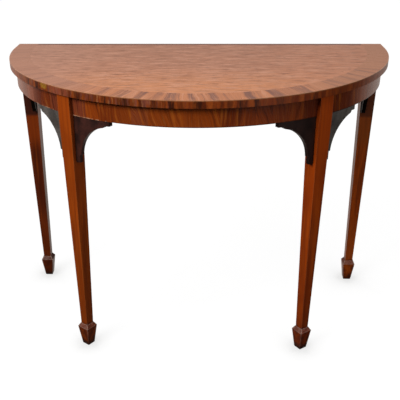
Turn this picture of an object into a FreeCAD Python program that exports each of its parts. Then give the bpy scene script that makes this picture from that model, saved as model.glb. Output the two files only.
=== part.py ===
import FreeCAD, Part
import os
from math import asin, cos, degrees, radians, sin, sqrt

# A half-round (demilune) side table, in millimetres.
# The origin is on the floor under the middle of the top. +X runs along the straight back edge,
# +Y points at the wall behind the table and +Z is up. Angles in plan are counted from the front.

# Top: planks under a veneered field, a cross-grained band and a cross-grained edge
top_radius = 530.0
top_return = 50.0
table_height = 748.0
plank_thickness = 17.0
plank_names = ("rear", "middle", "front")
veneer_thickness = 1.5
crossband_width = 57.0
crossband_pieces = 18
edge_pieces = 18
back_strip_width = 18.0
glue_line = 0.1

# Frieze: three courses of curved bricks with staggered joints, veneered in upright leaves
frieze_overhang = 15.5
frieze_height = 49.5
frieze_thickness = 28.0
course_names = ("lower", "middle", "upper")
brick_angle = 22.5
centre_leaves = 15
side_leaves = 10

# Legs: square and tapered, the front pair proud of the frieze and turned outwards, the back pair flush with it
leg_width = 41.0
leg_proud = 9.0
ankle_width = 23.0
front_leg_angle = 36.5

# Bridle, tenons and the rail between the back legs
bridle_tongue = 15.0
rail_thickness = 22.0
rail_inset = 2.0
tenon_thickness = 10.0
tenon_length = 22.0
tenon_shoulder = 8.0
tenon_wall = 5.0

# Spade feet: four mitred facings round each leg
foot_width = 37.0
foot_base = 23.0
foot_block = 61.0
foot_shoulder = 10.0
foot_ledge = 1.0
foot_toe = 3.0
foot_spike = 12.0

# Brackets: square end, quarter round, cove and square toe; bent to the frieze in front, straight at the back
bracket_reach = 104.0
bracket_drop = 119.5
bracket_thickness = 10.5
bracket_setback = 1.5
back_bracket_inset = 3.0
back_bracket_drop = 108.0
bracket_end = 12.0
bracket_fillet = 14.0
bracket_bead = 6.0
bracket_toe = 16.5
bracket_toe_height = 21.0
bracket_toe_step = 5.0
cove_hollow = 17.0

# Brace from the back rail to the frieze, dovetailed at both ends
brace_width = 45.0
brace_height = 25.0
dovetail_root = 22.0
dovetail_flare = 5.0
dovetail_length = 13.0
dovetail_depth = 12.0

# Glue blocks under the top, and the place of the two on the back rail
block_length = 60.0
block_size = 22.0
block_bevel = 10.0
rail_block_x = 320.0

# Screws up into the top, in pockets cut in the frieze and the back rail
screw_radius = 2.2
screw_head_radius = 4.2
screw_head_height = 2.5
screw_clearance = 0.15
screw_bite = 10.0
pocket_tilt = 25.0
pocket_depth = 15.0
pocket_radius = 6.0
rail_screw_x = 160.0
frieze_screw_angle = 10.5

# Heights, radii and places that follow from the sizes above
back_y = (top_radius + top_return) / 2
arc_y = back_y - top_return
plank_top = table_height - veneer_thickness
frame_top = plank_top - plank_thickness
frieze_bottom = frame_top - frieze_height
frieze_face = top_radius - frieze_overhang
core_outer = frieze_face - veneer_thickness - glue_line
core_inner = core_outer - frieze_thickness
core_middle = (core_outer + core_inner) / 2
leg_outer = frieze_face + leg_proud
leg_half = leg_width / 2
front_leg_radius = leg_outer - leg_half
back_leg_y = arc_y - leg_half
back_leg_front = arc_y - leg_width
back_leg_x = sqrt(frieze_face ** 2 - leg_width ** 2) - leg_half
rail_back = arc_y - rail_inset
rail_front = rail_back - rail_thickness
rail_middle = (rail_back + rail_front) / 2
foot_top = foot_block + foot_shoulder
bracket_outer = frieze_face - bracket_setback
bracket_inner = bracket_outer - bracket_thickness
back_bracket_inner = back_leg_x - leg_half + back_bracket_inset
quarter_turn = 90.0
leg_span = degrees(asin(leg_half / frieze_face))
frieze_end = quarter_turn - degrees(asin(leg_width / frieze_face))
far = 2 * top_radius


def vec(x, y, z=0.0):
    return FreeCAD.Vector(x, y, z)


def on_round(radius, angle, z=0.0):
    """Point at a radius from the axis of the round, at an angle from the front."""
    turn = radians(angle)
    return vec(radius * sin(turn), arc_y - radius * cos(turn), z)


def block(x0, x1, y0, y1, z0, z1):
    return Part.makeBox(x1 - x0, y1 - y0, z1 - z0, vec(x0, y0, z0))


def prism(points, direction):
    """Solid with a polygon outline, pushed along a direction."""
    outline = Part.makePolygon(points + points[:1])
    return Part.Face(outline).extrude(direction)


def rod(radius, start, direction, length):
    return Part.makeCylinder(radius, length, start, direction)


def ring_sector(inner, outer, start, end, z0, z1):
    """Part of a ring about the axis of the round, between two angles."""
    middle = (start + end) / 2
    edges = [
        Part.LineSegment(on_round(inner, start, z0), on_round(outer, start, z0)),
        Part.Arc(on_round(outer, start, z0), on_round(outer, middle, z0), on_round(outer, end, z0)),
        Part.LineSegment(on_round(outer, end, z0), on_round(inner, end, z0)),
        Part.Arc(on_round(inner, end, z0), on_round(inner, middle, z0), on_round(inner, start, z0)),
    ]
    outline = Part.Wire([edge.toShape() for edge in edges])
    return Part.Face(outline).extrude(vec(0, 0, z1 - z0))


def half_round(radius, z0, z1):
    """Half-round plate with straight returns, as far back as the back edge."""
    left = vec(-radius, arc_y, z0)
    right = vec(radius, arc_y, z0)
    right_back = vec(radius, back_y, z0)
    left_back = vec(-radius, back_y, z0)
    edges = [
        Part.Arc(left, on_round(radius, 0, z0), right),
        Part.LineSegment(right, right_back),
        Part.LineSegment(right_back, left_back),
        Part.LineSegment(left_back, left),
    ]
    outline = Part.Wire([edge.toShape() for edge in edges])
    return Part.Face(outline).extrude(vec(0, 0, z1 - z0))


def post(levels):
    """Square post about the Z axis, flat-sided between levels of (height, width)."""
    corners = ((-1, -1), (1, -1), (1, 1), (-1, 1))
    rings = [[vec(x * width / 2, y * width / 2, z) for x, y in corners] for z, width in levels]
    outlines = [rings[0], rings[-1]]
    for low, high in zip(rings, rings[1:]):
        for i in range(4):
            j = (i + 1) % 4
            outlines.append([low[i], low[j], high[j], high[i]])
    faces = [Part.Face(Part.makePolygon(points + points[:1])) for points in outlines]
    return Part.Solid(Part.Shell(faces))


def turned(shape, angle, place):
    """Copy turned about Z by an angle, then moved to a place."""
    copy = shape.copy()
    copy.rotate(vec(0, 0), vec(0, 0, 1), angle)
    copy.translate(place)
    return copy


def mirrored(shape):
    return shape.mirror(vec(0, 0), vec(1, 0, 0))


def cut_where_met(shape, cutters):
    """Shape less those cutters whose boxes meet its own."""
    met = [cutter for cutter in cutters if cutter.BoundBox.intersect(shape.BoundBox)]
    return shape.cut(met) if met else shape


def save(node, solids):
    shape = solids[0] if len(solids) == 1 else Part.makeCompound(solids)
    shape.exportStep(f"parts/{node}.step")
    print(node, len(solids), round(shape.Volume))


def leg_width_at(z):
    """Width of a leg between the frieze and its ankle."""
    share = (frieze_bottom - z) / (frieze_bottom - foot_top)
    return leg_width - (leg_width - ankle_width) * share


def sector_cutter(index, count, z0, z1):
    """Wedge for one of the pieces round the top; the end ones take in the straight returns."""
    step = 2 * quarter_turn / count
    start = -quarter_turn + index * step
    points = [on_round(0, 0, z0), on_round(far, start, z0), on_round(far, start + step, z0)]
    if index == 0:
        points[1:2] = [vec(0, back_y, z0), vec(-far, back_y, z0), vec(-far, arc_y, z0)]
    if index == count - 1:
        points[2:3] = [vec(far, arc_y, z0), vec(far, back_y, z0), vec(0, back_y, z0)]
    return prism(points, vec(0, 0, z1 - z0))


def banding(outer, width, count, z0, z1):
    """Pieces of a band that follows the curved edge of the top."""
    band = half_round(outer, z0, z1).cut(half_round(outer - width, z0, z1))
    return [band.common(sector_cutter(i, count, z0, z1)).Solids[0] for i in range(count)]


def pocket_screw():
    """Screw, rail cutter and plank cutter about the middle of a rail's top edge; inside is +Y."""
    tilt = radians(pocket_tilt)
    down = vec(0, sin(tilt), -cos(tilt))
    up = down * -1
    seat = down * pocket_depth
    length = pocket_depth + screw_bite / cos(tilt)
    shank = rod(screw_radius, seat, up, length)
    head = rod(screw_head_radius, seat, down, screw_head_height)
    hole = rod(screw_radius + screw_clearance, seat, up, length)
    pocket_length = (frieze_thickness + rail_thickness) / sin(tilt)
    pocket = rod(pocket_radius, seat, down, pocket_length)
    return shank.fuse(head), hole.fuse(pocket), hole


def top_screw_places():
    """Turn and place of each pocket screw: in the frieze beside the front legs, and in the back rail."""
    places = []
    for side in (-1, 1):
        for step in (-frieze_screw_angle, frieze_screw_angle):
            angle = side * (front_leg_angle + step)
            places.append((angle, on_round(core_middle, angle, frame_top)))
        places.append((2 * quarter_turn, vec(side * rail_screw_x, rail_middle, frame_top)))
    return places


def brace_tails():
    """Dovetails at the frieze end and at the rail end of the brace."""
    z0 = frame_top - dovetail_depth
    tails = []
    for root_y, out in ((arc_y - core_inner, -1), (rail_front, 1)):
        inner_y = root_y - out * dovetail_length
        end_y = root_y + out * dovetail_length
        half = dovetail_root / 2
        wide = half + dovetail_flare
        points = [vec(-half, inner_y, z0), vec(-half, root_y, z0), vec(-wide, end_y, z0),
                  vec(wide, end_y, z0), vec(half, root_y, z0), vec(half, inner_y, z0)]
        tails.append(prism(points, vec(0, 0, dovetail_depth)))
    return tails


def centre_brace(tails):
    bar = block(-brace_width / 2, brace_width / 2, arc_y - core_outer, rail_front,
                frame_top - brace_height, frame_top)
    inside = Part.makeCylinder(core_inner - glue_line, table_height, vec(0, arc_y))
    bar = bar.common(inside)
    for tail in tails:
        bar = bar.fuse(tail)
    return bar.removeSplitter()


def frieze_tenon(side):
    """Tenon on one end of the frieze, stopped short of the back rail's tenon."""
    middle = sqrt(core_middle ** 2 - leg_width ** 2) * side
    end = rail_middle - tenon_thickness / 2 - tenon_wall
    return block(middle - tenon_thickness / 2, middle + tenon_thickness / 2, back_leg_front, end,
                 frieze_bottom + tenon_shoulder, frame_top - tenon_shoulder)


def rail_tenon(side):
    inner = back_leg_x - leg_half
    x0, x1 = sorted((side * inner, side * (inner + tenon_length)))
    return block(x0, x1, rail_middle - tenon_thickness / 2, rail_middle + tenon_thickness / 2,
                 frieze_bottom + tenon_shoulder, frame_top - tenon_shoulder)


def bridle_notches(angle):
    """What a front leg takes out of the frieze core: a notch in front of the tongue and one behind."""
    half = bridle_tongue / 2
    front = block(-leg_half, leg_half, -leg_outer - leg_width, -core_middle - half, frieze_bottom, frame_top)
    rear = block(-leg_half, leg_half, -core_middle + half, -core_inner + leg_width, frieze_bottom, frame_top)
    return [turned(notch, angle, vec(0, arc_y)) for notch in (front, rear)]


def frieze_course(index, cutters):
    """Bricks of one course; the end bricks carry their share of the tenons."""
    height = frieze_height / len(course_names)
    z0 = frieze_bottom + index * height
    slab = block(-far, far, -far, back_y, z0, z0 + height)
    first = brick_angle if index % 2 else brick_angle / 2
    joints = [] if first < brick_angle else [0.0]
    angle = first
    while angle < quarter_turn:
        joints += [-angle, angle]
        angle += brick_angle
    bounds = [-quarter_turn] + sorted(joints) + [quarter_turn]
    behind = block(-far, far, back_leg_front, back_y, z0, z0 + height)
    bricks = []
    for start, end in zip(bounds, bounds[1:]):
        brick = ring_sector(core_inner, core_outer, start, end, z0, z0 + height).cut(behind)
        if end == quarter_turn:
            brick = brick.fuse(frieze_tenon(1).common(slab)).removeSplitter()
        if start == -quarter_turn:
            brick = brick.fuse(frieze_tenon(-1).common(slab)).removeSplitter()
        bricks.append(cut_where_met(brick, cutters).Solids[0])
    return bricks


def frieze_leaves(start, end, count):
    """Equal veneer leaves between two legs; the end ones reach under the legs and are cut off at their faces."""
    behind = block(-far, far, back_leg_front, back_y, frieze_bottom, frame_top)
    legs = [turned(block(-leg_half, leg_half, -far, 0, frieze_bottom, frame_top), side * front_leg_angle,
                   vec(0, arc_y)) for side in (-1, 1)]
    seams = [start + (end - start) * i / count for i in range(1, count)]
    bounds = [start - leg_span] + seams + [end + leg_span]
    leaves = []
    for left, right in zip(bounds, bounds[1:]):
        leaf = ring_sector(frieze_face - veneer_thickness, frieze_face, left, right, frieze_bottom, frame_top)
        leaves.append(leaf.cut([behind] + legs).Solids[0])
    return leaves


def leg():
    """Leg about the Z axis: square beside the frieze, tapered to the ankle, then down inside the foot."""
    return post([(0, foot_spike), (foot_top, ankle_width), (frieze_bottom, leg_width), (frame_top, leg_width)])


def front_leg(angle):
    """Leg with the open slot that drops over the tongue of the frieze."""
    slot_middle = front_leg_radius - core_middle
    slot = block(-leg_width, leg_width, slot_middle - bridle_tongue / 2, slot_middle + bridle_tongue / 2,
                 frieze_bottom, table_height)
    return turned(leg().cut(slot), angle, on_round(front_leg_radius, angle))


def back_leg():
    """Right back leg with its two mortises."""
    placed = turned(leg(), 0, vec(back_leg_x, back_leg_y))
    return placed.cut([frieze_tenon(1), rail_tenon(1)])


def spade_foot(angle, place):
    """Four mitred facings round the end of a leg."""
    outer = post([(0, foot_base - 2 * foot_toe), (foot_toe, foot_base), (foot_block, foot_width),
                  (foot_top, ankle_width + 2 * foot_ledge)])
    sleeve = outer.cut(leg())
    reach = foot_width
    wedge = prism([vec(0, 0), vec(-reach, -reach), vec(reach, -reach)], vec(0, 0, foot_top))
    facing = sleeve.common(wedge).Solids[0]
    return [turned(facing, angle + i * quarter_turn, place) for i in range(4)]


def bracket_outline():
    """Edges of a bracket: first value away from the leg's face, second value up from the frieze."""
    toe_z = bracket_toe_height - bracket_drop
    leg_inset = (leg_width - leg_width_at(frieze_bottom - bracket_drop)) / 2
    corner = vec(0, 0)
    end_top = vec(bracket_reach, 0)
    end_low = vec(bracket_reach, -bracket_end)
    bead_start = vec(bracket_reach - bracket_fillet, -bracket_end)
    bead_end = bead_start + vec(-bracket_bead, -bracket_bead)
    diagonal = cos(radians(quarter_turn / 2)) * bracket_bead
    bead_bulge = bead_start + vec(diagonal - bracket_bead, -diagonal)
    cove_end = vec(bracket_toe, toe_z)
    chord = cove_end - bead_end
    inward = vec(chord.y, -chord.x) * (cove_hollow / chord.Length)
    cove_middle = (bead_end + cove_end) * 0.5 + inward
    toe_start = cove_end - vec(bracket_toe_step, 0)
    tip_out = vec(toe_start.x, -bracket_drop)
    tip_in = vec(-leg_inset, -bracket_drop)
    return [
        Part.LineSegment(corner, end_top),
        Part.LineSegment(end_top, end_low),
        Part.LineSegment(end_low, bead_start),
        Part.Arc(bead_start, bead_bulge, bead_end),
        Part.Arc(bead_end, cove_middle, cove_end),
        Part.LineSegment(cove_end, toe_start),
        Part.LineSegment(toe_start, tip_out),
        Part.LineSegment(tip_out, tip_in),
        Part.LineSegment(tip_in, corner),
    ]


def bracket_blank():
    """Bracket shape in front of the Z axis, beside a leg's +X face, pushed in as far as the axis."""
    face = Part.Face(Part.Wire([edge.toShape() for edge in bracket_outline()]))
    face.rotate(vec(0, 0), vec(1, 0, 0), quarter_turn)
    face.translate(vec(leg_half, -leg_outer, frieze_bottom))
    return face.extrude(vec(0, leg_outer, 0))


def bracket_ring():
    """Ring under the frieze that bends the brackets to its curve."""
    low = vec(0, arc_y, frieze_bottom - bracket_drop)
    outer = Part.makeCylinder(bracket_outer, bracket_drop, low)
    return outer.cut(Part.makeCylinder(bracket_inner, bracket_drop, low))


def bracket_slab():
    """Flat board at the right back leg: the back brackets are straight and have shorter toes."""
    return block(back_bracket_inner, back_bracket_inner + bracket_thickness, -far, far,
                 frieze_bottom - back_bracket_drop, frieze_bottom)


def brackets():
    """Two brackets at each front leg, one on either hand of it, and one in front of each back leg."""
    blank = bracket_blank()
    hands = {1: blank, -1: mirrored(blank)}
    ring = bracket_ring()
    for side, name in ((-1, "left"), (1, "right")):
        angle = side * front_leg_angle
        for hand, place in ((side, "outer"), (-side, "inner")):
            bent = turned(hands[hand], angle, vec(0, arc_y)).common(ring)
            save(f"bracket_front_{name}_{place}", bent.Solids)
    straight = turned(hands[-1], quarter_turn, vec(0, back_leg_y)).common(bracket_slab())
    save("bracket_back_left", mirrored(straight).Solids)
    save("bracket_back_right", straight.Solids)


def glue_block_section():
    """Section of a glue block: first value into the frame, second value down from the top."""
    return [(0, 0), (block_size, 0), (block_size, block_size - block_bevel),
            (block_size - block_bevel, block_size), (0, block_size)]


def glue_blocks():
    """Blocks half way between the legs; those on the frieze are shaved to its curve."""
    blocks = []
    inside = Part.makeCylinder(core_inner - glue_line, table_height, vec(0, arc_y))
    start = -block_length / 2
    for side in (-1, 1):
        for angle in (front_leg_angle / 2, (front_leg_angle + quarter_turn) / 2):
            points = [vec(start, into - core_inner, frame_top - down) for into, down in glue_block_section()]
            for corner in (points[0], points[-1]):
                corner.y -= block_size
            rough = turned(prism(points, vec(block_length, 0, 0)), side * angle, vec(0, arc_y))
            blocks.append(rough.common(inside).Solids[0])
        points = [vec(side * rail_block_x + start, rail_front - into, frame_top - down)
                  for into, down in glue_block_section()]
        blocks.append(prism(points, vec(block_length, 0, 0)))
    return blocks


def planks(cutters):
    """Boards of the top from back to front, edge to edge."""
    plate = half_round(top_radius - veneer_thickness - glue_line, frame_top, plank_top)
    width = (top_radius - veneer_thickness - glue_line + top_return) / len(plank_names)
    boards = []
    for i in range(len(plank_names)):
        y1 = back_y - i * width
        board = plate.common(block(-far, far, y1 - width, y1, frame_top, plank_top))
        boards.append(cut_where_met(board, cutters))
    return boards


def back_rail(tails, cutters):
    inner = back_leg_x - leg_half
    rail = block(-inner, inner, rail_front, rail_back, frieze_bottom, frame_top)
    rail = rail.fuse([rail_tenon(-1), rail_tenon(1)]).removeSplitter()
    return cut_where_met(rail, tails + cutters)


def build_top(cutters):
    for name, board in zip(plank_names, planks(cutters)):
        save(f"top_plank_{name}", [board])
    inner = half_round(top_radius - crossband_width - glue_line, plank_top, table_height)
    strip = block(-far, far, back_y - back_strip_width, back_y, plank_top, table_height)
    save("top_field_veneer", [inner.cut(strip)])
    save("top_back_strip", [inner.common(strip)])
    save("top_crossband", banding(top_radius, crossband_width, crossband_pieces, plank_top, table_height))
    save("top_edge_veneer", banding(top_radius, veneer_thickness, edge_pieces, frame_top, plank_top))


def build_frieze(tails, cutters):
    for angle in (-front_leg_angle, front_leg_angle):
        cutters = cutters + bridle_notches(angle)
    for index, name in enumerate(course_names):
        save(f"frieze_course_{name}", frieze_course(index, tails + cutters))
    inner_seam = front_leg_angle - leg_span
    outer_seam = front_leg_angle + leg_span
    save("frieze_veneer_left", frieze_leaves(-frieze_end, -outer_seam, side_leaves))
    save("frieze_veneer_centre", frieze_leaves(-inner_seam, inner_seam, centre_leaves))
    save("frieze_veneer_right", frieze_leaves(outer_seam, frieze_end, side_leaves))


def build_legs():
    right = back_leg()
    for side, name in ((-1, "left"), (1, "right")):
        angle = side * front_leg_angle
        save(f"leg_front_{name}", [front_leg(angle)])
        save(f"leg_back_{name}", [right if side > 0 else mirrored(right)])
        save(f"spade_foot_front_{name}", spade_foot(angle, on_round(front_leg_radius, angle)))
        save(f"spade_foot_back_{name}", spade_foot(0, vec(side * back_leg_x, back_leg_y)))


def build():
    os.makedirs("parts", exist_ok=True)
    screw, rail_cutter, plank_cutter = pocket_screw()
    places = top_screw_places()
    rail_cutters = [turned(rail_cutter, angle, place) for angle, place in places]
    plank_cutters = [turned(plank_cutter, angle, place) for angle, place in places]
    tails = brace_tails()
    build_top(plank_cutters)
    build_frieze(tails, rail_cutters)
    save("back_rail", [back_rail(tails, rail_cutters)])
    save("centre_brace", [centre_brace(tails)])
    build_legs()
    brackets()
    save("glue_blocks", glue_blocks())
    save("top_screws", [turned(screw, angle, place) for angle, place in places])


build()
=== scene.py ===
# %% [markdown]
# # A half-round side table
# The table stands against a wall: a veneered half-round top, a curved frieze, four tapered legs on spade
# feet and six dark shaped brackets. Every piece of joinery is already a solid, so this lesson only dresses
# it: camera, light and polished wood. We load the solids first and remember the box that they fill,
# because nothing we add later may make the table bigger.

# %% Load the solids as a fixed frame
from math import degrees, radians
import bpy
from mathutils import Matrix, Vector


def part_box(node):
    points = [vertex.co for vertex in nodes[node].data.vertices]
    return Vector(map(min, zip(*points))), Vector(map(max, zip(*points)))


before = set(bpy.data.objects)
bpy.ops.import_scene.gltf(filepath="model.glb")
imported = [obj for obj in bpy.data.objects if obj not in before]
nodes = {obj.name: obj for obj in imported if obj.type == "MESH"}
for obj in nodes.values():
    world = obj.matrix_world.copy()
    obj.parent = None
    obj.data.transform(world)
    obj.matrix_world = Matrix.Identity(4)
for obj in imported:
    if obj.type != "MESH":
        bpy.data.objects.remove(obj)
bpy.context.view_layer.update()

# %% [markdown]
# ## The camera
# The place of the camera was worked out from the outline of the top, the lines of the four legs and the
# front edge of the top. It stands a little to the right of the middle, at chest height, and looks down.
# The photograph was trimmed, so its middle isn't where the lens pointed: the two shifts stand for that.

# %% Camera
camera_data = bpy.data.cameras.new("camera")
camera_data.sensor_width = 36.0
camera_data.lens = 62.309
camera_data.shift_x = 0.06
camera_data.shift_y = 0.06
camera = bpy.data.objects.new("camera", camera_data)
camera.location = (0.0385, -1.7678, 1.1860)
camera.rotation_euler = (radians(63.407), radians(0.577), radians(2.743))
bpy.context.scene.collection.objects.link(camera)
bpy.context.scene.camera = camera
print("camera at", tuple(round(v, 3) for v in camera.location))

# %% [markdown]
# ## Sockets that Python can do sums with
# A wood finish is a long sum of noises. Wiring each Math node by hand hides the idea, so one small class
# wraps a node's output: an ordinary Python expression then adds the Math nodes for us. Everything else,
# such as a noise or a mix of colours, is made by its one method `node`.

# %% The Wire class
class Wire:
    """One output of a node; a sum with it adds a Math node and gives that node's output."""

    def __init__(self, tree, socket=None):
        self.tree = tree
        self.socket = socket

    def node(self, kind, settings=None, inputs=None, output=0):
        """Adds a node with these settings and inputs, and returns one of its outputs."""
        made = self.tree.nodes.new(kind)
        for name, value in (settings or {}).items():
            setattr(made, name, value)
        for key, value in (inputs or {}).items():
            if isinstance(value, Wire):
                self.tree.links.new(value.socket, made.inputs[key])
            else:
                made.inputs[key].default_value = value
        return Wire(self.tree, made.outputs[output])

    def other(self, output):
        """Another output of the same node."""
        return Wire(self.tree, self.socket.node.outputs[output])

    def math(self, operation, *values):
        return self.node("ShaderNodeMath", {"operation": operation}, dict(enumerate(values)))

    def __add__(self, value):
        return self.math("ADD", self, value)

    def __radd__(self, value):
        return self.math("ADD", value, self)

    def __sub__(self, value):
        return self.math("SUBTRACT", self, value)

    def __rsub__(self, value):
        return self.math("SUBTRACT", value, self)

    def __mul__(self, value):
        return self.math("MULTIPLY", self, value)

    def __rmul__(self, value):
        return self.math("MULTIPLY", value, self)

    def __truediv__(self, value):
        return self.math("DIVIDE", self, value)

    def __abs__(self):
        return self.math("ABSOLUTE", self)


print("sums on sockets are ready")

# %% [markdown]
# ## A finish and what wears it
# A finish is one material with one shader. What is the same all over is set on the shader's own sockets,
# and what changes over the surface is wired to them. `dress` puts a finish in the slot of a solid and leaves
# its mesh alone.

# %% Finish helpers
def new_finish(name, **constants):
    """A material, its shader and a first wire; constants are set on the shader's own sockets."""
    finish = bpy.data.materials.new(name)
    finish.use_nodes = True
    shader = finish.node_tree.nodes["Principled BSDF"]
    for socket, value in constants.items():
        shader.inputs[socket.replace("_", " ")].default_value = value
    return finish, shader, Wire(finish.node_tree)


def connect(shader, **wires):
    tree = shader.id_data
    for socket, wire in wires.items():
        tree.links.new(wire.socket, shader.inputs[socket.replace("_", " ")])


def dress(finish, *names):
    for name in names:
        materials = nodes[name].data.materials
        materials.clear()
        materials.append(finish)
    print(finish.name, "on", ", ".join(names))


print("finishes can be made")

# %% [markdown]
# ## Helpers for wood
# Wood grain is noise that is squeezed across the grain and drawn out along it. `noise` takes a place in
# metres times the ripples per metre along each axis, `fade` turns a value into a soft step, and `tint`
# mixes two colours. `chance` gives each piece of veneer a tone of its own.

# %% Wood helpers
def split(vector):
    """The x, y and z of a vector."""
    axes = vector.node("ShaderNodeSeparateXYZ", inputs={0: vector})
    return axes, axes.other("Y"), axes.other("Z")


def place_of(start):
    """x, y and z of the shaded spot in metres, in the table's own frame."""
    return split(start.node("ShaderNodeTexCoord", output="Object"))


def noise(x, y, z, detail=2.0, roughness=0.5):
    """Noise at a place; a plain number for an axis picks a slice, so that noises needn't look alike."""
    start = next(v for v in (x, y, z) if isinstance(v, Wire))
    spot = start.node("ShaderNodeCombineXYZ", inputs={0: x, 1: y, 2: z})
    sockets = {"Vector": spot, "Scale": 1.0, "Detail": detail, "Roughness": roughness}
    return start.node("ShaderNodeTexNoise", inputs=sockets)


def fade(value, low, high):
    """0 at low, 1 at high, with a soft step between them; low may be the larger one."""
    sockets = {"Value": value, "From Min": low, "From Max": high}
    return value.node("ShaderNodeMapRange", {"interpolation_type": "SMOOTHSTEP"}, sockets)


def opaque(colour):
    """Red, green and blue with the fourth number that a colour socket asks for; a wire stays as it is."""
    return colour if isinstance(colour, Wire) else (*colour, 1.0)


def tint(first, second, share):
    """Mixes two colours; share is how much of the second one shows."""
    # a Mix node keeps its two colours in inputs 6 and 7, and the mixed colour in output 2
    sockets = {0: share, 6: opaque(first), 7: opaque(second)}
    return share.node("ShaderNodeMix", {"data_type": "RGBA"}, sockets, 2)


def chance(number):
    """A fixed random value from 0 to 1 for each whole number."""
    return number.node("ShaderNodeTexWhiteNoise", {"noise_dimensions": "1D"}, {"W": number})


print("grain can be drawn")

# %% [markdown]
# ## Arrises, corners and pores
# On an old table the sharp arrises are rubbed round and pale, and on the legs that pale line is also a
# painted highlight; painted shade darkens the corners.
# The Bevel node bends the shading normal near an arris, so the solids can keep their sharp edges: where the
# bent normal leaves the true one, there is an arris. Ambient Occlusion tells how closed in a spot is.

# %% Wear helpers
def true_normal(start):
    return start.node("ShaderNodeNewGeometry", output="Normal")


def bent_normal(start, width):
    return start.node("ShaderNodeBevel", {"samples": 4}, {"Radius": width})


def pores(height, depth, rounding=0.0):
    """Normal with bumps from a height value; depth and the rounding of arrises are in metres."""
    sockets = {"Strength": 1.0, "Distance": depth, "Height": height}
    if rounding:
        sockets["Normal"] = bent_normal(height, rounding)
    return height.node("ShaderNodeBump", inputs=sockets)


def arris_mask(start, width):
    """1 on an arris and 0 on a flat."""
    sockets = {0: bent_normal(start, width), 1: true_normal(start)}
    agree = start.node("ShaderNodeVectorMath", {"operation": "DOT_PRODUCT"}, sockets, "Value")
    return fade(agree, 0.995, 0.90)


def openness(start, reach, samples):
    """1 in the open, less where something stands within reach."""
    return start.node("ShaderNodeAmbientOcclusion", {"samples": samples}, {"Distance": reach}, "AO")


def closed_in(start, reach):
    """1 deep in a corner and 0 in the open."""
    return fade(openness(start, reach, 8), 0.95, 0.35)


print("wear can be found")

# %% [markdown]
# ## Places on the round
# The band, the edge and the frieze follow a circle about one upright axis, which stands a little in front
# of the back edge. Their grain is easiest to describe by an angle from the front and a radius, so this
# helper turns x and y into those. The radius and the axis are measured on the solids.

# %% Angle and radius
band_low, band_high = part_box("top_crossband")
top_radius = band_high[0]
axis_y = band_low[1] + top_radius
degrees_per_radian = degrees(1.0)


def round_place(x, y):
    """Angle from the front in degrees, and radius in metres, about the axis of the round."""
    ahead = axis_y - y
    angle = x.math("ARCTAN2", x, ahead) * degrees_per_radian
    radius = x.math("SQRT", x * x + ahead * ahead)
    return angle, radius


print("radius", round(top_radius, 4), "about y =", round(axis_y, 4))

# %% [markdown]
# ## The veneered field of the top
# The middle of the top is one wide veneer with its grain along the wall: salmon-brown, full of short dark
# and light flecks, pinker on the left and warmer on the right, and painted lighter towards the front, where
# more light falls. A picture of wood would repeat, so noises drawn out along x give the flecks, and a finer
# one cuts the pores.

# %% Field veneer
polish_ior = 1.5
salmon = (0.430, 0.160, 0.074)
pale_salmon = (0.510, 0.194, 0.092)
painted_light_salmon = (0.660, 0.240, 0.082)
warmer = (0.570, 0.200, 0.080)
pinker = (0.500, 0.225, 0.135)
dark_fleck = (0.235, 0.072, 0.024)
light_fleck = (0.690, 0.320, 0.190)
short_fleck = (0.220, 0.068, 0.026)
pore_brown = (0.200, 0.060, 0.024)

finish, shader, start = new_finish("polished_field", IOR=polish_ior)
x, y = place_of(start)[:2]
across = y + noise(x * 6.0, y * 6.0, 0.0) * 0.016
cloud = noise(x * 3.5, y * 12.0, 0.0, detail=3.0)
flecks = noise(x * 17.0, across * 92.0, 0.0, detail=5.0, roughness=0.68)
lights = noise(x * 15.0 + 40.0, across * 78.0, 3.0, detail=5.0, roughness=0.68)
short = noise(x * 48.0, across * 150.0, 7.0, detail=3.0, roughness=0.62)
fine = noise(x * 30.0, across * 520.0, 0.0, detail=3.0)
wood = tint(salmon, pale_salmon, fade(cloud, 0.32, 0.68))
# Painted light: lighter towards the front, where more light falls.
wood = tint(wood, painted_light_salmon, fade(y, 0.04, -0.20) * 0.85)
wood = tint(wood, warmer, fade(x, 0.10, 0.34) * 0.60)
wood = tint(wood, pinker, fade(x, -0.20, -0.42) * 0.75)
wood = tint(wood, dark_fleck, fade(flecks, 0.45, 0.70) * 0.82)
wood = tint(wood, light_fleck, fade(lights, 0.43, 0.70) * 0.85)
wood = tint(wood, short_fleck, fade(short, 0.54, 0.70) * 0.62)
wood = tint(wood, pore_brown, fade(fine, 0.50, 0.74) * 0.45)
bumps = pores(flecks + fine * 0.5, depth=0.00008)
connect(shader, Base_Color=wood, Roughness=0.22 + flecks * 0.16, Normal=bumps)
dress(finish, "top_field_veneer")
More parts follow.
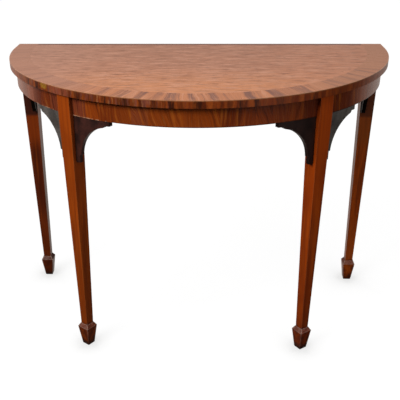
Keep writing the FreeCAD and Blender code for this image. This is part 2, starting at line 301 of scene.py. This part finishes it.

# %% [markdown]
# ## Streaks with a place
# The band and the edge have broad dark streaks in places of their own. Noise would put them anywhere, so
# they are listed as (angle, half width, depth): degrees from the front, and 1 for the darkest.

# %% Streaks of the band and the edge
band_streaks = (
    (-60, 2.0, 0.2), (-54, 1.2, 0.35), (-48, 1.5, 0.2), (-39, 1.5, 0.4), (-24.5, 1.6, 0.6), (-20.5, 1.0, 0.5),
    (-18.5, 1.2, 0.7), (-14, 1.3, 0.8), (-9, 1.4, 0.6), (-5.6, 2.4, 0.9), (-0.3, 1.4, 0.9), (5.8, 1.4, 0.9),
    (14.2, 1.9, 0.9), (21.8, 2.2, 0.9), (30, 1.5, 0.7), (39, 1.2, 0.5), (42, 1.2, 0.5), (48, 1.3, 0.5),
    (51.5, 0.9, 0.4), (57, 1.1, 0.6), (61, 1.0, 0.4),
)
edge_streaks = (
    (-51.5, 1.2, 0.8), (-46.5, 1.2, 0.9), (-30, 1.6, 0.7), (-22.5, 1.1, 0.9), (-17, 2.4, 0.8),
    (-9.5, 1.2, 0.7), (-5, 1.1, 1.0), (1, 1.5, 0.9), (12, 1.8, 0.9), (15.6, 1.3, 1.0), (22, 1.5, 0.9),
    (32, 1.4, 0.8), (39.6, 1.3, 0.9), (42, 1.0, 0.8),
)


def streaks_at(angle, streaks):
    """The depth of the deepest listed streak at an angle, with soft sides."""
    dark = angle * 0.0
    for middle, half, depth in streaks:
        dark = dark.math("MAXIMUM", dark, fade(abs(angle - middle), half, half * 0.3) * depth)
    return dark


print(len(band_streaks), "streaks in the band,", len(edge_streaks), "in the edge")

# %% [markdown]
# ## The crossbanding
# A band of veneer runs round the curve with its grain pointing at the middle, so its dark streaks stand
# across the edge like spokes. It is laid in eighteen pieces, each with its own tone and lean. Noise adds
# narrow streaks to the listed ones; they weaken towards the ends, where the band is pinker on the left and
# browner on the right.

# %% Crossband
band_start = 90.0
band_piece = 10.0
streak_limit = 0.90
band_brown = (0.44, 0.149, 0.055)
band_orange = (0.545, 0.187, 0.065)
band_pale = (0.64, 0.280, 0.150)
left_end = (0.45, 0.198, 0.118)
right_end = (0.46, 0.182, 0.082)
streak_brown = (0.175, 0.058, 0.034)
hair_brown = (0.22, 0.072, 0.028)
arris_tan = (0.56, 0.260, 0.130)

finish, shader, start = new_finish("polished_crossband", IOR=polish_ior)
x, y = place_of(start)[:2]
angle, radius = round_place(x, y)
piece = start.math("FLOOR", (angle + band_start) / band_piece)
bend = (noise(angle * 0.35, radius * 16.0, 5.0) - 0.5) * 2.0
lean = (chance(piece + 3.0) - 0.5) * (radius - top_radius) * 40.0
along = angle + (bend + lean)
narrow = noise(along * 1.1 + chance(piece) * 50.0, radius * 5.0, 0.0, detail=3.0, roughness=0.55)
hair = noise(along * 5.0, radius * 8.0, 2.0, detail=3.0, roughness=0.6)
broken = fade(noise(along * 0.8, radius * 45.0, 8.0), 0.25, 0.50)
strands = fade(noise(along * 2.6, radius * 6.0, 11.0), 0.38, 0.56)
dark = streaks_at(along, band_streaks) * (0.40 + 0.60 * strands) * (0.50 + 0.50 * broken)
dark = dark + fade(narrow, 0.52, 0.68) * (0.22 + 0.28 * fade(abs(angle), 60.0, 20.0))
arris = fade(radius, top_radius - 0.0020, top_radius - 0.0005)
wood = tint(band_brown, band_orange, chance(piece + 7.0))
wood = tint(wood, band_pale, fade(narrow, 0.46, 0.32) * 0.6)
wood = tint(wood, left_end, fade(angle, -20.0, -46.0) * 0.75)
wood = tint(wood, right_end, fade(angle, 20.0, 46.0) * 0.75)
wood = tint(wood, streak_brown, start.math("MINIMUM", dark, streak_limit))
wood = tint(wood, hair_brown, fade(hair, 0.52, 0.72) * 0.40)
wood = tint(wood, arris_tan, arris * 0.6)
connect(shader, Base_Color=wood, Roughness=0.22 + hair * 0.14, Normal=pores(hair, depth=0.00006))
dress(finish, "top_crossband")

# %% [markdown]
# ## The edge of the top
# The edge is veneered with upright grain, cut from dark and orange striped wood. It takes less light than
# the top, so its stripes look nearly black. Its left half has mauve and tan stripes as well, a paler mauve
# patch near the left leg is a painted highlight, and both far ends are redder, with weaker streaks. This
# cell sets out the stripes; the next one colours them.

# %% Edge stripes
highlight_angle = -37.3
finish, shader, start = new_finish("polished_edge", IOR=polish_ior, Specular_IOR_Level=0.35)
x, y, z = place_of(start)
angle = round_place(x, y)[0]
along = angle + (noise(angle * 0.5, 0.0, z * 40.0) - 0.5) * 1.2
narrow = noise(along * 1.1, z * 10.0, 4.0, detail=3.0, roughness=0.55)
hair = noise(along * 6.0, z * 20.0, 2.0, detail=3.0, roughness=0.6)
strands = fade(noise(along * 2.4, z * 30.0, 13.0), 0.36, 0.58)
bright = fade(noise(along * 0.6, 0.0, 9.0), 0.35, 0.65)
mauve = fade(noise(along * 1.3, z * 25.0, 17.0), 0.50, 0.66) * fade(angle, 6.0, -14.0)
tan = fade(noise(along * 1.9, z * 30.0, 23.0), 0.54, 0.66) * fade(angle, 4.0, -16.0)
painted_highlight = fade(abs(angle - highlight_angle), 5.0, 2.0)
far_end = fade(abs(angle), 48.0, 60.0)
dark = streaks_at(along, edge_streaks) * (0.35 + 0.55 * strands) + fade(narrow, 0.46, 0.66) * 0.55
dark = dark * (0.62 + 0.38 * fade(angle, 34.0, 12.0) + 0.20 * fade(angle, -24.0, -40.0))
dark = dark * (1.0 - 0.45 * far_end)
print("stripes of the edge set out")

# %% [markdown]
# ## The colours of the edge and its sapwood
# The stripes are laid over each other from the palest to the darkest. Last comes one small yellow patch of
# sapwood, which shows where the veneer was mended: a rough-rimmed oval, placed by angle and height.

# %% Edge veneer
edge_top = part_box("top_edge_veneer")[1][2]
edge_streak_limit = 0.92
sapwood_angle = -43.4
sapwood_half_angle = 1.60
sapwood_height = 0.7415
sapwood_half_height = 0.0085
edge_red = (0.180, 0.026, 0.003)
edge_orange = (0.350, 0.070, 0.009)
mauve_brown = (0.225, 0.066, 0.044)
tan_brown = (0.400, 0.165, 0.055)
highlight_mauve = (0.340, 0.105, 0.074)
end_red = (0.420, 0.088, 0.010)
streak_black = (0.034, 0.007, 0.003)
hair_black = (0.060, 0.014, 0.004)
rubbed_tan = (0.30, 0.105, 0.040)
sapwood_yellow = (0.42, 0.225, 0.024)

sideways = abs(angle - sapwood_angle) / sapwood_half_angle
upward = abs(z - sapwood_height) / sapwood_half_height
rim = noise(x * 300.0, y * 300.0, z * 300.0)
patch = 1.0 - fade(sideways * sideways + upward * upward + rim, 0.9, 1.7)
speck = fade(noise(x * 260.0, y * 260.0, z * 260.0), 0.40, 0.60)
arris = fade(z, edge_top - 0.0022, edge_top - 0.0004)
wood = tint(edge_red, edge_orange, bright)
wood = tint(wood, mauve_brown, mauve * 0.75)
wood = tint(wood, tan_brown, tan * 0.60)
# Painted highlight: a paler mauve patch above the left leg.
wood = tint(wood, highlight_mauve, painted_highlight * 0.34)
wood = tint(wood, end_red, far_end * 0.55)
wood = tint(wood, streak_black, start.math("MINIMUM", dark, edge_streak_limit))
wood = tint(wood, hair_black, fade(hair, 0.52, 0.74) * 0.45)
wood = tint(wood, rubbed_tan, arris * 0.45)
wood = tint(wood, sapwood_yellow, patch * (0.32 + 0.55 * speck))
connect(shader, Base_Color=wood, Roughness=0.28 + hair * 0.14, Normal=pores(hair, depth=0.00008))
dress(finish, "top_edge_veneer")

# %% [markdown]
# ## The dark strip along the wall
# A narrow strip of darker veneer closes the back of the top. It is the field's wood, stained, and it turns
# nearly black along its back arris. One fine noise along x is enough for so narrow a piece.

# %% Back strip
strip_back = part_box("top_back_strip")[1][1]
strip_dark = (0.20, 0.070, 0.034)
strip_light = (0.30, 0.105, 0.048)
strip_black = (0.05, 0.018, 0.010)

finish, shader, start = new_finish("polished_strip", IOR=polish_ior)
x, y = place_of(start)[:2]
fine = noise(x * 40.0, y * 700.0, 0.0, detail=3.0)
wood = tint(strip_dark, strip_light, fade(fine, 0.35, 0.65))
wood = tint(wood, strip_black, fade(y, strip_back - 0.005, strip_back - 0.001) * 0.8)
connect(shader, Base_Color=wood, Roughness=0.30 + fine * 0.1, Normal=pores(fine, depth=0.00004))
dress(finish, "top_back_strip")

# %% [markdown]
# ## The figure of the frieze
# Under the top the frieze is veneered in narrow leaves with upright grain. Each leaf was cut from a
# different part of the log, so its tone and the lean of its figure change from leaf to leaf. The leaf's
# number comes from the angle; a random value for that number sets both. Yellow flames show mostly in the
# left half, and beyond the left leg the figure is quiet.

# %% Frieze figure
leaf_step = 4.56
frieze_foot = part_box("frieze_veneer_centre")[0][2]
finish, shader, start = new_finish("polished_frieze", IOR=polish_ior, Specular_IOR_Level=0.42)
x, y, z = place_of(start)
angle = round_place(x, y)[0]
leaf = start.math("FLOOR", angle / leaf_step + 0.5)
lean = (0.72 - chance(leaf)) * 60.0
along = angle + lean * (z - frieze_foot) + (noise(angle * 0.4, z * 9.0, 6.0) - 0.5) * 2.0
ribbon = noise(along * 1.15 + leaf * 3.7, z * 6.0, 0.0, detail=3.0)
hair = noise(along * 5.5, z * 14.0, 1.0, detail=3.0, roughness=0.6)
flame = noise(along * 0.75 + leaf * 5.1, z * 11.0, 15.0)
left_half = fade(angle, 2.0, -16.0)
lively = fade(angle, -52.0, -38.0)
print("leaves of", leaf_step, "degrees set out")

# %% [markdown]
# ## The colours of the frieze
# The frieze is painted paler left of the middle and at both ends, as painted light, and painted shade makes
# it darkest between the middle and the right leg. Painted shade also darkens it under the top and in its
# corners, and the lower arris is chipped on the left, where pale bare wood shows.

# %% Frieze veneer
leaf_dark = (0.135, 0.017, 0.003)
leaf_red = (0.360, 0.061, 0.005)
leaf_mauve = (0.200, 0.046, 0.026)
vein_orange = (0.440, 0.112, 0.012)
flame_yellow = (0.520, 0.190, 0.040)
vein_black = (0.056, 0.009, 0.003)
hair_red = (0.075, 0.012, 0.003)
shade_red = (0.085, 0.012, 0.004)
painted_light_red = (0.440, 0.092, 0.010)
painted_shade_brown = (0.018, 0.005, 0.002)
foot_black = (0.030, 0.007, 0.003)
bare_wood = (0.60, 0.330, 0.200)

# Painted shade: darkest between the middle and the right leg. Painted light: paler left of the middle and at
# both ends.
shade = fade(angle, 15.0, 26.0) * fade(angle, 44.0, 32.0)
painted_light = fade(angle, -24.0, -17.0) * fade(angle, 18.0, -6.0) * 0.26 + fade(abs(angle), 46.0, 57.0) * 0.36
foot = fade(z, frieze_foot + 0.0030, frieze_foot + 0.0006)
chips = fade(noise(x * 60.0, y * 60.0, 0.0, detail=3.0), 0.46, 0.60) * fade(angle, -16.0, -26.0)
wood = tint(leaf_dark, leaf_red, chance(leaf + 31.0))
wood = tint(wood, leaf_mauve, fade(chance(leaf + 57.0), 0.45, 0.55) * left_half * 0.55)
wood = tint(wood, vein_orange, fade(ribbon, 0.53, 0.70) * (0.28 + 0.36 * lively))
wood = tint(wood, flame_yellow, fade(flame, 0.60, 0.74) * (0.12 + 0.46 * left_half) * lively)
wood = tint(wood, vein_black, fade(ribbon, 0.50, 0.32) * (0.34 + 0.32 * lively))
wood = tint(wood, hair_red, fade(hair, 0.52, 0.74) * 0.22)
wood = tint(wood, shade_red, shade * 0.35)
wood = tint(wood, painted_light_red, painted_light)
# Painted shade under the top and in the corners.
wood = tint(wood, painted_shade_brown, closed_in(start, reach=0.035) * 0.55)
wood = tint(wood, foot_black, foot * fade(angle, -28.0, -10.0) * 0.7)
wood = tint(wood, bare_wood, foot * chips * 0.75)
connect(shader, Base_Color=wood, Roughness=0.24 + hair * 0.06, Normal=pores(hair, depth=0.00002))
dress(finish, "frieze_veneer_left", "frieze_veneer_centre", "frieze_veneer_right")

# %% [markdown]
# ## The wood of the legs
# The legs are straight-grained solid mahogany, orange where light has faded them and dark red-brown where
# polish has gathered. The grain runs up the leg, so the noises are drawn out along z. No two legs came from
# the same board, so the recipe takes a deep and a bright colour, and a third one that shows in the upper
# half and, more weakly, near the foot.

# %% Leg wood
dark_stripe = (0.110, 0.014, 0.002)
orange_stripe = (0.620, 0.125, 0.008)
low_shade = (0.060, 0.012, 0.005)


def swaying(x, y, z):
    """x and y, moved by the slow sway of the grain up a leg."""
    sway = (noise(0.0, 0.0, z * 3.0) - 0.5) * 0.006
    return x + sway, y + sway


def leg_wood(place, hair, deep, bright, upper):
    """The colour of a leg before wear."""
    x, y, z = place
    across, through = swaying(x, y, z)
    ribbon = noise(across * 90.0, through * 90.0, z * 3.0, detail=3.0, roughness=0.58)
    stripe = noise(across * 170.0, through * 170.0, z * 4.5 + 9.0)
    cloud = noise(x * 9.0, y * 9.0, z * 7.0, detail=3.0)
    wood = tint(deep, bright, fade(ribbon, 0.20, 0.64))
    wood = tint(wood, dark_stripe, fade(stripe, 0.52, 0.68) * 0.42)
    wood = tint(wood, orange_stripe, fade(stripe, 0.48, 0.32) * 0.22)
    wood = tint(wood, hair_red, fade(hair, 0.52, 0.74) * 0.30)
    wood = tint(wood, deep, fade(cloud, 0.46, 0.66) * 0.60)
    wood = tint(wood, upper, fade(z, 0.43, 0.50) * 0.50 + fade(z, 0.27, 0.18) * 0.22)
    return tint(wood, low_shade, fade(z, 0.58, 0.06) * 0.22)


print("leg wood is ready")

# %% [markdown]
# ## Dust, wear and painted light on the legs
# The feet are the same wood, darker. Their sloping shoulders are grey, partly with dust and partly with a
# painted reflection of the pale surroundings, and the grey is thicker on the slopes that look left, where
# the light falls: the true normal tells which way a face looks. A painted shadow darkens the tops of the
# back legs in front, under the frieze. The arrises are rubbed pale and also carry a painted highlight, most
# of all on the feet, and painted shade darkens the corners. Near the floor everything is dirty.

# %% Leg recipe
foot_top = 0.080
shadow_height = 0.550
foot_dark = (0.050, 0.009, 0.005)
dust_and_sheen_grey = (0.185, 0.104, 0.082)
painted_shadow_black = (0.022, 0.008, 0.007)
rubbed_and_highlit_leg = (0.48, 0.170, 0.060)
rubbed_and_highlit_foot = (0.56, 0.380, 0.300)
painted_shade_black = (0.012, 0.004, 0.002)
dirt_brown = (0.030, 0.012, 0.008)


def leg_finish(name, deep, bright, upper, shadow_share=0.0):
    finish, shader, start = new_finish(name, IOR=polish_ior, Specular_IOR_Level=0.38)
    x, y, z = place_of(start)
    to_right, to_back, to_sky = split(true_normal(start))
    across, through = swaying(x, y, z)
    hair = noise(across * 420.0, through * 420.0, z * 9.0, detail=3.0, roughness=0.6)
    mottle = noise(x * 75.0, y * 75.0, z * 55.0, detail=3.0, roughness=0.6)
    foot = fade(z, foot_top, foot_top - 0.008)
    slope = fade(to_sky, 0.20, 0.50)
    # Grey on the sloping shoulders: dust and a painted reflection, thicker where the slopes face the light.
    dust_and_sheen = (0.18 + 0.58 * fade(mottle, 0.60, 0.42)) * (0.50 + 0.50 * fade(to_right, 0.45, -0.25))
    # Painted shadow on the fronts of the back legs, under the frieze.
    painted_shadow = fade(z, shadow_height, shadow_height + 0.011) * fade(to_back, -0.4, -0.8)
    # Pale arrises: wear and a painted highlight, strongest at the shoulders of the feet.
    worn_and_highlit = arris_mask(start, width=0.0030) * (0.38 + 0.32 * foot * fade(z, 0.034, 0.060))
    dirt = fade(z + noise(x * 50.0, y * 50.0, z * 50.0) * 0.02, 0.034, 0.014)
    wood = leg_wood((x, y, z), hair, deep, bright, upper)
    wood = tint(wood, foot_dark, foot * fade(mottle, 0.38, 0.62) * 0.62)
    wood = tint(wood, dust_and_sheen_grey, slope * dust_and_sheen)
    wood = tint(wood, painted_shadow_black, painted_shadow * shadow_share)
    wood = tint(wood, tint(rubbed_and_highlit_leg, rubbed_and_highlit_foot, foot), worn_and_highlit)
    # Painted shade in the corners.
    wood = tint(wood, painted_shade_black, closed_in(start, reach=0.045) * 0.62)
    wood = tint(wood, dirt_brown, dirt * 0.7)
    bumps = pores(hair, depth=0.00006, rounding=0.0012)
    connect(shader, Base_Color=wood, Roughness=0.26 + hair * 0.14 + slope * 0.40, Normal=bumps)
    return finish


print("leg recipe is ready")

# %% [markdown]
# ## Four legs, four boards
# The two front legs are orange. The left back leg is the darkest and turns red higher up, and the right
# back leg is the brightest and turns brown; its brightness partly stands for the extra light that reaches
# it, as painted light. Each foot was cut from its leg's board. Only the back legs get the painted shadow,
# and the last number is its share.

# %% Legs and feet
orange = (0.36, 0.058, 0.003)
left_front = leg_finish("polished_left_leg", (0.24, 0.031, 0.002), (0.46, 0.078, 0.004), orange)
dress(left_front, "leg_front_left", "spade_foot_front_left")
red_orange = (0.42, 0.054, 0.001)
right_front = leg_finish("polished_right_leg", (0.25, 0.026, 0.001), (0.51, 0.076, 0.002), red_orange)
dress(right_front, "leg_front_right", "spade_foot_front_right")
red = (0.400, 0.058, 0.003)
left_back = leg_finish("polished_left_back_leg", (0.052, 0.007, 0.002), (0.135, 0.022, 0.005), red, 0.82)
dress(left_back, "leg_back_left", "spade_foot_back_left")
brown = (0.34, 0.090, 0.014)
# The right back leg's brighter colours partly stand for the light that reaches it: painted light.
right_back = leg_finish("polished_right_back_leg", (0.32, 0.044, 0.003), (0.60, 0.096, 0.005), brown, 0.60)
dress(right_back, "leg_back_right", "spade_foot_back_right")

# %% [markdown]
# ## The brackets
# The brackets are a close-grained wood stained nearly black-brown. A stain sinks unevenly into the wood,
# so a slow noise lets some red-brown show through, the arrises are rubbed a little paler, and painted shade
# darkens the corners. The right inner one is almost black, the outer pair at the front legs is grey, with
# dust and a painted reflection of the pale surroundings, and the pair at the wall was never polished, so one
# recipe takes two colours and a gloss.

# %% Brackets
hair_stain = (0.008, 0.004, 0.003)
rubbed_stain = (0.095, 0.040, 0.026)
painted_shade_bracket = (0.004, 0.002, 0.002)


def bracket_finish(name, deep, bloom, gloss):
    finish, shader, start = new_finish(name, IOR=polish_ior, Specular_IOR_Level=gloss)
    x, y, z = place_of(start)
    angle, radius = round_place(x, y)
    cloud = noise(angle * 0.3, radius * 30.0, z * 18.0, detail=3.0)
    hair = noise(angle * 1.2, radius * 300.0, z * 260.0, detail=3.0, roughness=0.6)
    wood = tint(deep, bloom, fade(cloud, 0.35, 0.68))
    wood = tint(wood, hair_stain, fade(hair, 0.50, 0.70) * 0.5)
    wood = tint(wood, rubbed_stain, arris_mask(start, width=0.0016) * 0.35)
    # Painted shade in the corners.
    wood = tint(wood, painted_shade_bracket, closed_in(start, reach=0.05) * 0.75)
    bumps = pores(hair, depth=0.00006, rounding=0.0008)
    connect(shader, Base_Color=wood, Roughness=0.32 + cloud * 0.14, Normal=bumps)
    return finish


stained = bracket_finish("stained_bracket", (0.022, 0.008, 0.006), (0.075, 0.021, 0.014), gloss=0.5)
dress(stained, "bracket_front_left_inner")
black = bracket_finish("black_bracket", (0.008, 0.003, 0.002), (0.026, 0.009, 0.006), gloss=0.3)
dress(black, "bracket_front_right_inner")
# Grey outer pair: dust and a painted reflection of the pale surroundings.
dust_and_sheen_pair = bracket_finish("dust_and_sheen_bracket", (0.078, 0.066, 0.058), (0.155, 0.135, 0.120), gloss=0.5)
dress(dust_and_sheen_pair, "bracket_front_left_outer", "bracket_front_right_outer")
dull = bracket_finish("dull_bracket", (0.004, 0.0025, 0.002), (0.009, 0.005, 0.004), gloss=0.03)
dress(dull, "bracket_back_left", "bracket_back_right")

# %% [markdown]
# ## The pine inside
# Carcase wood is bare pine that has browned with age. Its growth rings make broad bands along the grain,
# and planks, brace and frieze bricks each lie a different way, so the recipe takes the direction of the
# grain and the two directions across it.

# %% Carcase pine
metres_per_degree = 0.009
spring_wood = (0.42, 0.215, 0.094)
summer_wood = (0.24, 0.100, 0.040)
pine_hair = (0.15, 0.075, 0.036)
pine_grime = (0.09, 0.055, 0.035)
painted_shade_pine = (0.05, 0.030, 0.018)


def pine(name, run):
    """Bare pine; run picks the distance along the grain and the two distances across it."""
    finish, shader, start = new_finish(name, IOR=1.45)
    along, across, through = run(*place_of(start))
    sway = (noise(along * 2.5, across * 6.0, 0.0) - 0.5) * 0.03
    rings = noise(along * 0.6, (across + sway) * 55.0, through * 55.0, detail=3.0)
    hair = noise(along * 12.0, across * 480.0, through * 480.0, detail=3.0, roughness=0.6)
    grime = noise(along * 5.0, across * 7.0, through * 7.0, detail=4.0)
    wood = tint(spring_wood, summer_wood, fade(rings, 0.42, 0.66))
    wood = tint(wood, pine_hair, fade(hair, 0.55, 0.75) * 0.4)
    wood = tint(wood, pine_grime, fade(grime, 0.50, 0.75) * 0.45)
    # Painted shade in the corners.
    wood = tint(wood, painted_shade_pine, closed_in(start, reach=0.03) * 0.5)
    bumps = pores(hair, depth=0.00012, rounding=0.0010)
    connect(shader, Base_Color=wood, Roughness=0.66 + hair * 0.2, Normal=bumps)
    return finish


def run_of_bricks(x, y, z):
    angle, radius = round_place(x, y)
    return angle * metres_per_degree, radius, z


planks = pine("pine_planks", lambda x, y, z: (x, y, z))
dress(planks, "top_plank_rear", "top_plank_middle", "top_plank_front", "back_rail", "glue_blocks")
brace = pine("pine_brace", lambda x, y, z: (y, x, z))
dress(brace, "centre_brace")
bricks = pine("pine_bricks", run_of_bricks)
dress(bricks, "frieze_course_lower", "frieze_course_middle", "frieze_course_upper")

# %% [markdown]
# ## The screws
# Six steel screws hold the top from below. Old steel is grey with brown rust in patches; rust isn't metal,
# so the same patch lowers Metallic and raises Roughness.

# %% Screws
steel_grey = (0.36, 0.35, 0.33)
rust_brown = (0.16, 0.065, 0.028)

finish, shader, start = new_finish("old_steel", IOR=2.0)
x, y, z = place_of(start)
rust = fade(noise(x * 900.0, y * 900.0, z * 900.0, detail=4.0), 0.45, 0.62)
steel = tint(steel_grey, rust_brown, rust)
connect(shader, Base_Color=steel, Metallic=1.0 - rust * 0.8, Roughness=0.35 + rust * 0.4)
dress(finish, "top_screws")

# %% [markdown]
# ## The floor
# The table stands on a plain white floor. It glows, so that it stays white with only a breath of shadow
# round the feet. It is hidden from reflections and from the light that surfaces pass on: the polish then
# mirrors the studio's soft grey surroundings instead of a bright floor, as in a room with a dark carpet.

# %% Floor
floor_radius = 14.0
shadow_reach = 0.16
near_white = (0.940, 0.940, 0.940)
far_white = (0.985, 0.985, 0.985)
shadow_grey = (0.60, 0.60, 0.59)
paper_dark = (0.11, 0.11, 0.11)
paper_light = (0.13, 0.13, 0.13)

bpy.ops.mesh.primitive_circle_add(vertices=96, radius=floor_radius, fill_type="NGON")
floor = bpy.context.object
floor.name = "floor"
paper, shader, start = new_finish("white_floor", Roughness=0.9, Emission_Strength=1.0)
x, y = place_of(start)[:2]
mottle = noise(x * 3.0, y * 3.0, 0.0)
away = fade(start.math("SQRT", x * x + y * y), 0.7, 2.2)
shadow = fade(openness(start, shadow_reach, 16), 0.995, 0.70)
glow = tint(near_white, far_white, away)
glow = tint(glow, shadow_grey, shadow * 0.53)
connect(shader, Base_Color=tint(paper_dark, paper_light, mottle), Emission_Color=glow)
floor.data.materials.append(paper)
floor.visible_glossy = False
floor.visible_diffuse = False
print("floor laid")

# %% [markdown]
# ## The light
# A soft panel high at the front left models the legs, a weaker one fills the right, and a third above the
# top brings out its figure. Square area lights are enough, because all of them are large and soft.

# %% Lights
def panel(name, place, aim, size, watts):
    """A square soft light at a place, facing a point."""
    data = bpy.data.lights.new(name, "AREA")
    data.size = size
    data.energy = watts
    light = bpy.data.objects.new(name, data)
    light.location = place
    light.rotation_euler = (Vector(aim) - light.location).to_track_quat("-Z", "Y").to_euler()
    bpy.context.scene.collection.objects.link(light)
    print(name, watts, "W")


panel("key", place=(-1.75, -1.70, 2.15), aim=(0.0, 0.0, 0.5), size=1.2, watts=60.0)
panel("fill", place=(1.7, -1.9, 1.2), aim=(0.0, 0.0, 0.4), size=1.6, watts=14.0)
panel("overhead", place=(0.0, -0.35, 2.5), aim=(0.0, 0.0, 0.7), size=1.4, watts=22.0)

# %% [markdown]
# ## The surroundings
# What the polish mirrors is only a soft step from dark in front to pale behind, a little paler low down,
# where the far floor would be. The top mirrors the pale side and looks salmon, while the frieze keeps its
# deep red. The camera itself sees plain white past the floor's edge.

# %% Surroundings
low_pale = (0.66, 0.58, 0.53)
high_pale = (0.35, 0.34, 0.34)
front_dark = (0.02, 0.02, 0.02)
plain_white = (1.0, 1.0, 1.0)

world = bpy.data.worlds.new("studio")
world.use_nodes = True
bpy.context.scene.world = world
start = Wire(world.node_tree)
to_back, to_sky = split(start.node("ShaderNodeTexCoord", output="Generated"))[1:]
pale = tint(low_pale, high_pale, fade(to_sky, -0.10, 0.10))
grey = tint(front_dark, pale, fade(to_back, 0.30, 0.65))
seen = start.node("ShaderNodeLightPath", output="Is Camera Ray")
sky = world.node_tree.nodes["Background"]
connect(sky, Color=tint(grey, plain_white, seen))
bpy.context.scene.view_settings.view_transform = "Standard"
print("pale behind, dark in front")
